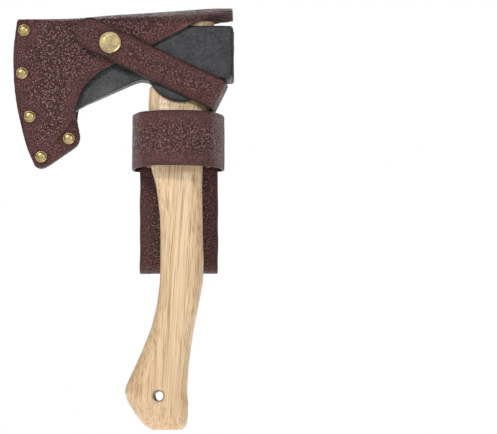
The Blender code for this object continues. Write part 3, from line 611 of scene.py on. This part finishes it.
steel = {
    "scale": colour(0.036, 0.035, 0.038),
    "dull": colour(0.019, 0.019, 0.021),
    "bare": colour(0.20, 0.20, 0.205),
    "ground": colour(0.30, 0.30, 0.30),
    "pale": colour(0.10, 0.098, 0.10),
    "pit": colour(0.012, 0.012, 0.013),
    "fleck": colour(0.17, 0.17, 0.172),
    "grime": colour(0.008, 0.008, 0.009),
    "brushed": colour(0.15, 0.148, 0.145),
    "hammerScale": 150.0,
    "pitScale": 620.0,
    "fleckScale": 2600.0,
    "streakScale": 1500.0,
    "streakTurn": math.radians(35),
    "relief": 0.45 * mm,
    "rough": (0.5, 0.66),
    "scaleMetal": 0.72,  # how metallic the dark scale is
    "wear": 0.55,
    "grimeShare": 0.6,
}


def steelFinish(name):
    finish, tree, shader, vector = newFinish(name)
    hammer = noise(tree, vector, steel["hammerScale"], 3.0, 0.6, 0.4)
    pits = noise(tree, vector, steel["pitScale"], 4.0, 0.66)
    speck = noise(tree, vector, steel["fleckScale"], 2.0, 0.6)
    brushWay = stretched(tree, vector, (1, 1, 0.07), (0, steel["streakTurn"], 0))
    streak = noise(tree, brushWay, steel["streakScale"], 2.0)
    ground = attribute(tree, "ground")
    bevel = attribute(tree, "bevel")
    base = mixColour(tree, remap(tree, hammer, 0.35, 0.7), steel["scale"], steel["dull"])
    base = mixColour(tree, remap(tree, pits, 0.5, 0.7, 0.0, 0.45), base, steel["pale"])
    base = mixColour(tree, remap(tree, pits, 0.48, 0.34, 0.0, 0.7), base, steel["pit"])
    base = mixColour(tree, remap(tree, speck, 0.6, 0.7, 0.0, 0.5), base, steel["fleck"])
    worn = placeGroup(tree, rubGroup, Vector=vector, Color=base, Rubbed=steel["bare"],
                      Dirt=steel["grime"], Wear=steel["wear"], Grime=steel["grimeShare"])
    brushed = maths(tree, "MULTIPLY", ground, remap(tree, streak, 0.3, 0.7, 0.5, 1.0), True)
    base = mixColour(tree, brushed, worn.outputs["Color"], steel["brushed"])
    base = mixColour(tree, bevel, base, steel["ground"])
    tree.links.new(base, shader.inputs["Base Color"])
    shine = maths(tree, "MAXIMUM", bevel, brushed, True)
    tree.links.new(remap(tree, shine, 0.0, 1.0, steel["scaleMetal"], 1.0), shader.inputs["Metallic"])
    rough = maths(tree, "SUBTRACT", remap(tree, pits, 0.35, 0.7, *steel["rough"]),
                  maths(tree, "MULTIPLY", shine, 0.18))
    tree.links.new(rough, shader.inputs["Roughness"])
    height = maths(tree, "ADD", maths(tree, "MULTIPLY", hammer, 0.4), maths(tree, "MULTIPLY", pits, 0.9))
    height = maths(tree, "MULTIPLY", height, remap(tree, bevel, 0.0, 1.0, 1.0, 0.1))
    raiseGrain(tree, shader, height, steel["relief"], 0.9)
    return finish


forgedSteel = steelFinish("forgedSteel")


# antique brass

brass = {
    "rivet": {"bright": colour(0.33, 0.25, 0.115), "tarnish": colour(0.15, 0.10, 0.04),
              "mottle": 0.6, "rough": (0.3, 0.5)},
    "snap": {"bright": colour(0.34, 0.275, 0.145), "tarnish": colour(0.17, 0.13, 0.06),
             "mottle": 0.8, "rough": (0.34, 0.55)},
    "scratch": colour(0.62, 0.52, 0.27),
    "dirt": colour(0.035, 0.018, 0.006),
    "stainScale": 380.0,
    "speckScale": 1800.0,
    "scratchScale": 2600.0,
    "scratchTurn": math.radians(28),
    "relief": 0.03 * mm,
    "wear": 0.7,
    "grime": 0.95,
}


def brassFinish(name, bright, tarnish, mottle, rough):
    finish, tree, shader, vector = newFinish(name)
    stain = noise(tree, vector, brass["stainScale"], 5.0, 0.66, 0.5)
    speck = noise(tree, vector, brass["speckScale"], 3.0, 0.6)
    scratchWay = stretched(tree, vector, (1, 1, 0.06), (0, brass["scratchTurn"], 0))
    scratch = noise(tree, scratchWay, brass["scratchScale"], 1.0)
    base = mixColour(tree, remap(tree, stain, 0.42, 0.66, 0.0, mottle), bright, tarnish)
    base = mixColour(tree, remap(tree, speck, 0.58, 0.76, 0.0, 0.6), base, tarnish)
    base = mixColour(tree, remap(tree, scratch, 0.6, 0.7, 0.0, 0.25), base, brass["scratch"])
    worn = placeGroup(tree, rubGroup, Vector=vector, Color=base, Rubbed=bright,
                      Dirt=brass["dirt"], Wear=brass["wear"], Grime=brass["grime"])
    tree.links.new(worn.outputs["Color"], shader.inputs["Base Color"])
    shader.inputs["Metallic"].default_value = 1.0
    dull = remap(tree, stain, 0.4, 0.7, *rough)
    dull = maths(tree, "ADD", dull, maths(tree, "MULTIPLY", worn.outputs["Dirt"], 0.25))
    tree.links.new(dull, shader.inputs["Roughness"])
    height = maths(tree, "ADD", stain, maths(tree, "MULTIPLY", scratch, 0.4))
    raiseGrain(tree, shader, height, brass["relief"], 0.6)
    return finish


rivetBrass = brassFinish("rivetBrass", **brass["rivet"])
snapBrass = brassFinish("snapBrass", **brass["snap"])
print("finishes made")


def finishWith(piece, finish):
    piece.data.materials.clear()
    piece.data.materials.append(finish)


# turned brass: caps, snap and stud

def turnOnLathe(name, profile, turns=48):
    # profile: (radius, height) from the outside of the foot up and in to the middle
    deselectAll()
    radius, height = profile[0]
    bpy.ops.mesh.primitive_circle_add(vertices=turns, radius=radius, fill_type="NOTHING",
                                      location=(0, 0, height))
    blank = bpy.context.object
    blank.name = blank.data.name = name
    bpy.ops.object.transform_apply(location=True, rotation=False, scale=False)
    bpy.ops.object.mode_set(mode="EDIT")
    bpy.ops.mesh.select_all(action="SELECT")
    bpy.ops.mesh.edge_face_add()
    for nextRadius, nextHeight in profile[1:]:
        bpy.ops.mesh.extrude_region_move(
            TRANSFORM_OT_translate={"value": (0, 0, nextHeight - height)})
        ratio = nextRadius / radius
        bpy.ops.transform.resize(value=(ratio, ratio, 1))
        radius, height = nextRadius, nextHeight
    bpy.ops.mesh.poke()
    bpy.ops.mesh.select_all(action="SELECT")
    bpy.ops.mesh.normals_make_consistent(inside=False)
    bpy.ops.object.mode_set(mode="OBJECT")
    applyModifier(blank, "SUBSURF", levels=1, render_levels=1)
    return blank


def arcOf(centre, reach, first, last, steps):
    # points on an ellipse's arc, in degrees from straight out
    points = []
    for i in range(steps + 1):
        a = math.radians(first + (last - first) * i / steps)
        points.append((centre[0] + reach[0] * math.cos(a), centre[1] + reach[1] * math.sin(a)))
    return points


capShapes = {  # as shares of the cap's own radius and height
    "rimTuck": 0.93, "rimRound": 0.10, "rimHeight": 0.36, "rimFoot": 0.02, "groove": 0.80, "domeFoot": 0.3,
}
shankSize = {"half": 1.6 * mm, "share": 0.4, "clear": 0.05 * mm}


def domeProfile():
    # a rolled rim with a fine groove inside it, then a low dome
    c = capShapes
    half = c["rimHeight"] / 2
    rim = [(c["rimTuck"] - 0.05, 0.0), (c["rimTuck"], c["rimFoot"])]
    rim += arcOf((1 - c["rimRound"], half + c["rimFoot"]), (c["rimRound"], half), -60, 120, 6)
    dome = arcOf((0.0, c["domeFoot"]), (c["groove"], 1 - c["domeFoot"]), 4, 86, 9)
    return rim + [(c["groove"] + 0.015, c["domeFoot"] - 0.02)] + dome


def flatCapProfile():
    # a snap's cap: steep rounded side, a raised rim and a slightly sunken face with a soft middle
    side = [(0.9, 0.0), (0.97, 0.06)] + arcOf((0.93, 0.5), (0.07, 0.42), -30, 80, 6)
    face = [(0.885, 0.90), (0.85, 0.80), (0.80, 0.77), (0.72, 0.82)]
    return side + face + arcOf((0.0, 0.8), (0.66, 0.2), 10, 84, 6)


def setCap(master, nodeName, body, finish):
    # one cap with its shank, on the seat of the node that it stands for
    seat = seatOf(nodeName)
    cap = bpy.data.objects.new(nodeName + "Cap", master.data.copy())
    bpy.context.scene.collection.objects.link(cap)
    size = Matrix.Diagonal((seat["radius"], seat["radius"], seat["height"], 1))
    cap.data.transform(seat["frame"] @ size)
    joinInto(cap, shankUnder(seat))
    markRub(cap, 1, 2.6)
    smoothShade(cap)
    finishWith(cap, finish)
    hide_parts(nodeName)
    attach(cap, body)


def shankUnder(seat):
    # the short tube below the cap, out of sight in the leather
    top, low = -shankSize["clear"], -seat["depth"]
    half = min(shankSize["half"], seat["radius"] * shankSize["share"])
    shank = turnOnLathe("shank", [(half, low), (half, low * 0.5), (half, top)], 20)
    shank.data.transform(seat["frame"])
    return shank


def joinInto(piece, *others):
    deselectAll()
    for other in others:
        other.select_set(True)
    piece.select_set(True)
    bpy.context.view_layer.objects.active = piece
    bpy.ops.object.join()


domeMaster = turnOnLathe("domeMaster", domeProfile())
snapMaster = turnOnLathe("snapMaster", flatCapProfile(), 64)
rimNames = ("upper", "middle", "lower", "toe", "beard")
loopNames = ("loop_upper_front", "loop_upper_rear", "loop_lower_front", "loop_lower_rear")
hatchetCaps = [f"{n}_rivet_{end}" for n in rimNames + ("strap",) for end in ("post", "socket")]
carrierCaps = [f"{n}_rivet_{end}" for n in loopNames for end in ("post", "socket")]
for nodeName in hatchetCaps:
    setCap(domeMaster, nodeName, "hatchet", rivetBrass)
for nodeName in carrierCaps:
    setCap(domeMaster, nodeName, "carrier", rivetBrass)
setCap(snapMaster, "snap_cap", "strap_front", snapBrass)


snapCut = {"bevel": 0.18 * mm, "smoothBelow": math.radians(40)}


def setSnapInsides():
    # the spring socket under the strap and the waisted stud on the sheath, seen when the strap is open
    for nodeName, body in (("snap_socket", "strap_front"), ("snap_stud_post", "hatchet"),
                           ("snap_stud_socket", "hatchet")):
        part = copyOfNodes(nodeName + "Turned", nodeName)
        applyModifier(part, "BEVEL", width=snapCut["bevel"], segments=2, limit_method="ANGLE")
        applyModifier(part, "SUBSURF", levels=1, render_levels=1, subdivision_type="SIMPLE")
        markRub(part, 1, 2.0)
        workOn(part)
        bpy.ops.object.shade_smooth_by_angle(angle=snapCut["smoothBelow"])
        finishWith(part, snapBrass)
        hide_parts(nodeName)
        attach(part, body)


setSnapInsides()
for master in (domeMaster, snapMaster):
    bpy.data.objects.remove(master)
print("brass set:", len(hatchetCaps) + len(carrierCaps) + 4, "parts")


# leather pieces

sheathCut = {"voxel": 0.86 * mm, "rounding": 4, "wave": 34 * mm, "swell": 0.22 * mm,
             "pull": 0.38 * mm, "pullReach": 3.2 * mm, "foldedTop": True}
collarCut = {"voxel": 0.66 * mm, "rounding": 4, "wave": 26 * mm, "swell": 0.2 * mm,
             "pull": 0.3 * mm, "pullReach": 3 * mm}
strapCut = {"voxel": 0.5 * mm, "rounding": 5, "wave": 22 * mm, "swell": 0.16 * mm,
            "pull": 0.3 * mm, "pullReach": 3 * mm, "buttDepth": 0.6 * mm, "buttOverlap": 0.8 * mm,
            "foldLean": math.radians(7)}
weltCut = dict(sheathCut, voxel=0.6 * mm, swell=0.05 * mm)


def leatherPiece(name, nodeName, body, cut, finish, seats, seed):
    piece = copyOfNodes(name, nodeName)
    if cut.get("foldedTop"):
        piece.data["foldTop"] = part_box(nodeName)[1].z
    finishLeather(piece, cut, finish, seats, seed)
    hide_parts(nodeName)
    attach(piece, body)


def finishLeather(piece, cut, finish, seats, seed):
    reskin(piece, cut["voxel"], cut["rounding"])
    unevenSkin(piece, cut["wave"], cut["swell"], seed)
    pressRound(piece, seats, cut["pullReach"], cut["pull"])
    markCutEdge(piece)
    markRub(piece, leather["rubSpread"], leather["rubGain"])
    smoothShade(piece)
    finishWith(piece, finish)


rimSeats = [seatOf(f"{n}_rivet_{end}") for n in rimNames for end in ("post", "socket")]
loopSeats = [seatOf(name) for name in carrierCaps]
leatherPiece("sheathHide", "sheath", "hatchet", sheathCut, sheathLeather, rimSeats, 3)
print("sheath done")
leatherPiece("ringHide", "collar", "carrier", collarCut, ringLeather, loopSeats, 5)
leatherPiece("beltLoopHide", "belt_loop", "carrier", collarCut, loopLeather, loopSeats, 8)
print("ring and belt loop done")

hinge = next(joint for joint in frame["joints"] if joint["name"] == "strap_swing")
pivot = Vector(hinge["pos_m"])
across = Vector(hinge["axis"]).normalized()  # the strap's width
down = across.cross(Vector((0, 1, 0))).normalized()
down = down if down.x > 0 else -down  # along the strap, towards the neck


def makeStrap():
    # one length of hide: the front leg's butt end is drawn into the fold, so the two become one skin
    front = copyOfNodes("frontLeg", "strap_front")
    for vertex in front.data.vertices:
        if (vertex.co - pivot).dot(down) > -strapCut["buttDepth"]:
            vertex.co += down * strapCut["buttOverlap"]
    strap = copyOfNodes("strapHide", "strap_back")
    joinInto(strap, front)
    seats = [seatOf("snap_cap"), seatOf("strap_rivet_post"), seatOf("strap_rivet_socket")]
    finishLeather(strap, strapCut, strapLeather, seats, 12)
    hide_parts("strap_front", "strap_back")
    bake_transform(strap)


makeStrap()
print("strap done")


def makeWelt():
    welt = copyOfNodes("weltHide", "edge_welt")
    finishLeather(welt, weltCut, weltLeather, [], 15)
    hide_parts("edge_welt")
    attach(welt, "hatchet")


makeWelt()


# handle and wedge

handleCut = {"voxel": 0.9 * mm, "rounding": 8, "boreRadius": 3.85 * mm, "boreFade": 0.7 * mm,
             "gripTop": 1.1, "gripFade": 1.6}
wedgeCut = {"bevel": 0.25 * mm, "smoothBelow": math.radians(35)}


def makeHandle():
    handle = copyOfNodes("handleAshwood", "handle")
    reskin(handle, handleCut["voxel"], handleCut["rounding"])
    places = meshArrays(handle)[0]
    # the bore is what lies about as near to the hole's own axis as its wall; it gets painted shade, dark
    # as the shadowed inside of the hole
    hole = next(o for o in record["physics"]["openings"] if o.get("name") == "lanyard_hole")
    centre = np.mean(hole["box_m"], axis=0)
    away = np.hypot(places[:, 0] - centre[0], places[:, 2] - centre[2])
    keepAttribute(handle, "boreShade",
                  1 - np.clip((away - handleCut["boreRadius"]) / handleCut["boreFade"], 0, 1))
    # the wood is darker towards the bottom
    low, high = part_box("handle")
    height = (places[:, 2] - low.z) / (high.z - low.z)
    keepAttribute(handle, "lowerPart", np.clip(handleCut["gripTop"] - height * handleCut["gripFade"], 0, 1))
    markRub(handle, 5, 2.0)
    smoothShade(handle)
    finishWith(handle, handleAsh)
    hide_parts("handle")
    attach(handle, "hatchet")


def makeWedge():
    wedge = copyOfNodes("wedgeWood", "wooden_wedge")
    applyModifier(wedge, "BEVEL", width=wedgeCut["bevel"], segments=2, limit_method="ANGLE")
    markRub(wedge, 1, 1.0)
    workOn(wedge)
    bpy.ops.object.shade_smooth_by_angle(angle=wedgeCut["smoothBelow"])
    finishWith(wedge, wedgeAsh)
    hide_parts("wooden_wedge")
    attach(wedge, "hatchet")


makeHandle()
makeWedge()
print("handle done")


# head

headCut = {"voxel": 0.8 * mm, "rounding": 3, "hammer": 0.16 * mm, "hammerWave": 17 * mm,
           "fine": 0.05 * mm, "fineWave": 5 * mm,
           "bevelThin": 2.0 * mm, "bevelFade": 0.8 * mm, "bevelReach": 30 * mm, "bevelReachFade": 6 * mm,
           "cheek": (62 * mm, 24 * mm), "cheekSpread": (13 * mm, 17 * mm), "cheekGain": 1.3}


def makeHead():
    head = copyOfNodes("forgedHead", "axe_head")
    reskin(head, headCut["voxel"], headCut["rounding"])
    places, normals, edges = meshArrays(head)
    low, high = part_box("axe_head")
    middle = (low.y + high.y) / 2
    thin = np.abs(places[:, 1] - middle)
    fromEdge = places[:, 0] - low.x
    # the bevel is the thin part by the cutting edge
    bevel = np.clip(1 - (thin - headCut["bevelThin"]) / headCut["bevelFade"], 0, 1)
    bevel = bevel * np.clip(1 - (fromEdge - headCut["bevelReach"]) / headCut["bevelReachFade"], 0, 1)
    bevel = spread(bevel, edges, 2)
    dents = ripple(places, headCut["hammerWave"], headCut["hammer"], 21)
    dents += ripple(places, headCut["fineWave"], headCut["fine"], 22)
    dents -= headCut["hammer"] + headCut["fine"]
    moveVertices(head, places + normals * (dents * (1 - bevel))[:, None])
    keepAttribute(head, "bevel", bevel)
    # a soft patch of the cheek has been ground brighter
    (cheekX, cheekZ), (wide, tall) = headCut["cheek"], headCut["cheekSpread"]
    cheek = np.exp(-((places[:, 0] - (low.x + cheekX)) / wide) ** 2
                   - ((places[:, 2] - (low.z + cheekZ)) / tall) ** 2)
    keepAttribute(head, "ground", np.clip(cheek * headCut["cheekGain"], 0, 1))
    markRub(head, 3, 1.9)
    smoothShade(head)
    finishWith(head, forgedSteel)
    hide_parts("axe_head")
    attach(head, "hatchet")


makeHead()
print("head done")


# floor, light and camera

studio = {
    "floor": colour(0.86, 0.86, 0.86),
    "floorSize": 40.0,
    "floorDrop": 22 * mm,
    "floorGlow": 0.8,
    "world": colour(1.0, 1.0, 1.0),
    "roomSeen": 1.0,
    "roomLight": 0.2,
    "camera": (0.1126, -1.8893, -0.1675),
    "cameraTurn": (95.103, 0.018, 1.749),
    "lens": 174.76,
}
lamps = {  # name: (place, size, watts)
    "keyLamp": ((-0.75, -1.4, 0.9), 0.32, 16.5),
    "fillLamp": ((0.6, -1.65, 0.45), 0.3, 7.0),
    "frontLamp": ((-0.1, -2.1, 0.7), 1.6, 5.0),
    "backLamp": ((0.9, 1.7, 1.5), 1.2, 38.0),
    "backFillLamp": ((-0.9, 1.7, 1.2), 1.2, 22.0),
}


def makeFloor():
    deselectAll()
    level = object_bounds()[0].z - studio["floorDrop"]
    bpy.ops.mesh.primitive_plane_add(size=studio["floorSize"], location=(0, 0, level))
    floor = bpy.context.object
    floor.name = "studioFloor"
    finish, tree, shader, vector = newFinish("floorPaint")
    tone = noise(tree, vector, 3.0, 3.0)
    pale = studio["floor"]
    paint = mixColour(tree, remap(tree, tone, 0.3, 0.7), pale, deepen(pale, 0.985))
    tree.links.new(paint, shader.inputs["Base Color"])
    shader.inputs["Roughness"].default_value = 0.8
    shader.inputs["Emission Color"].default_value = pale
    shader.inputs["Emission Strength"].default_value = studio["floorGlow"]
    floor.data.materials.append(finish)


def makeLight():
    world = bpy.data.worlds.new("paleRoom")
    world.use_nodes = True
    tree = world.node_tree
    backdrop = tree.nodes["Background"]
    backdrop.inputs["Color"].default_value = studio["world"]
    # the room is seen at full white, and lights the pieces more softly
    seen = addNode(tree, "LightPath").outputs["Is Camera Ray"]
    strength = remap(tree, seen, 0.0, 1.0, studio["roomLight"], studio["roomSeen"])
    tree.links.new(strength, backdrop.inputs["Strength"])
    bpy.context.scene.world = world
    bpy.context.scene.view_settings.view_transform = "Standard"
    for name, (place, size, watts) in lamps.items():
        lamp = bpy.data.lights.new(name, "AREA")
        lamp.shape, lamp.size, lamp.energy = "DISK", size, watts
        holder = bpy.data.objects.new(name, lamp)
        holder.location = place
        holder.rotation_mode = "QUATERNION"
        holder.rotation_quaternion = (-Vector(place)).to_track_quat("-Z", "Y")
        bpy.context.scene.collection.objects.link(holder)


def makeCamera():
    lens = bpy.data.cameras.new("studioCamera")
    lens.lens = studio["lens"]
    lens.clip_start, lens.clip_end = 0.01, 50.0
    camera = bpy.data.objects.new("studioCamera", lens)
    camera.location = studio["camera"]
    camera.rotation_euler = [math.radians(a) for a in studio["cameraTurn"]]
    bpy.context.scene.collection.objects.link(camera)
    bpy.context.scene.camera = camera


makeFloor()
makeLight()
makeCamera()
print("stage set")
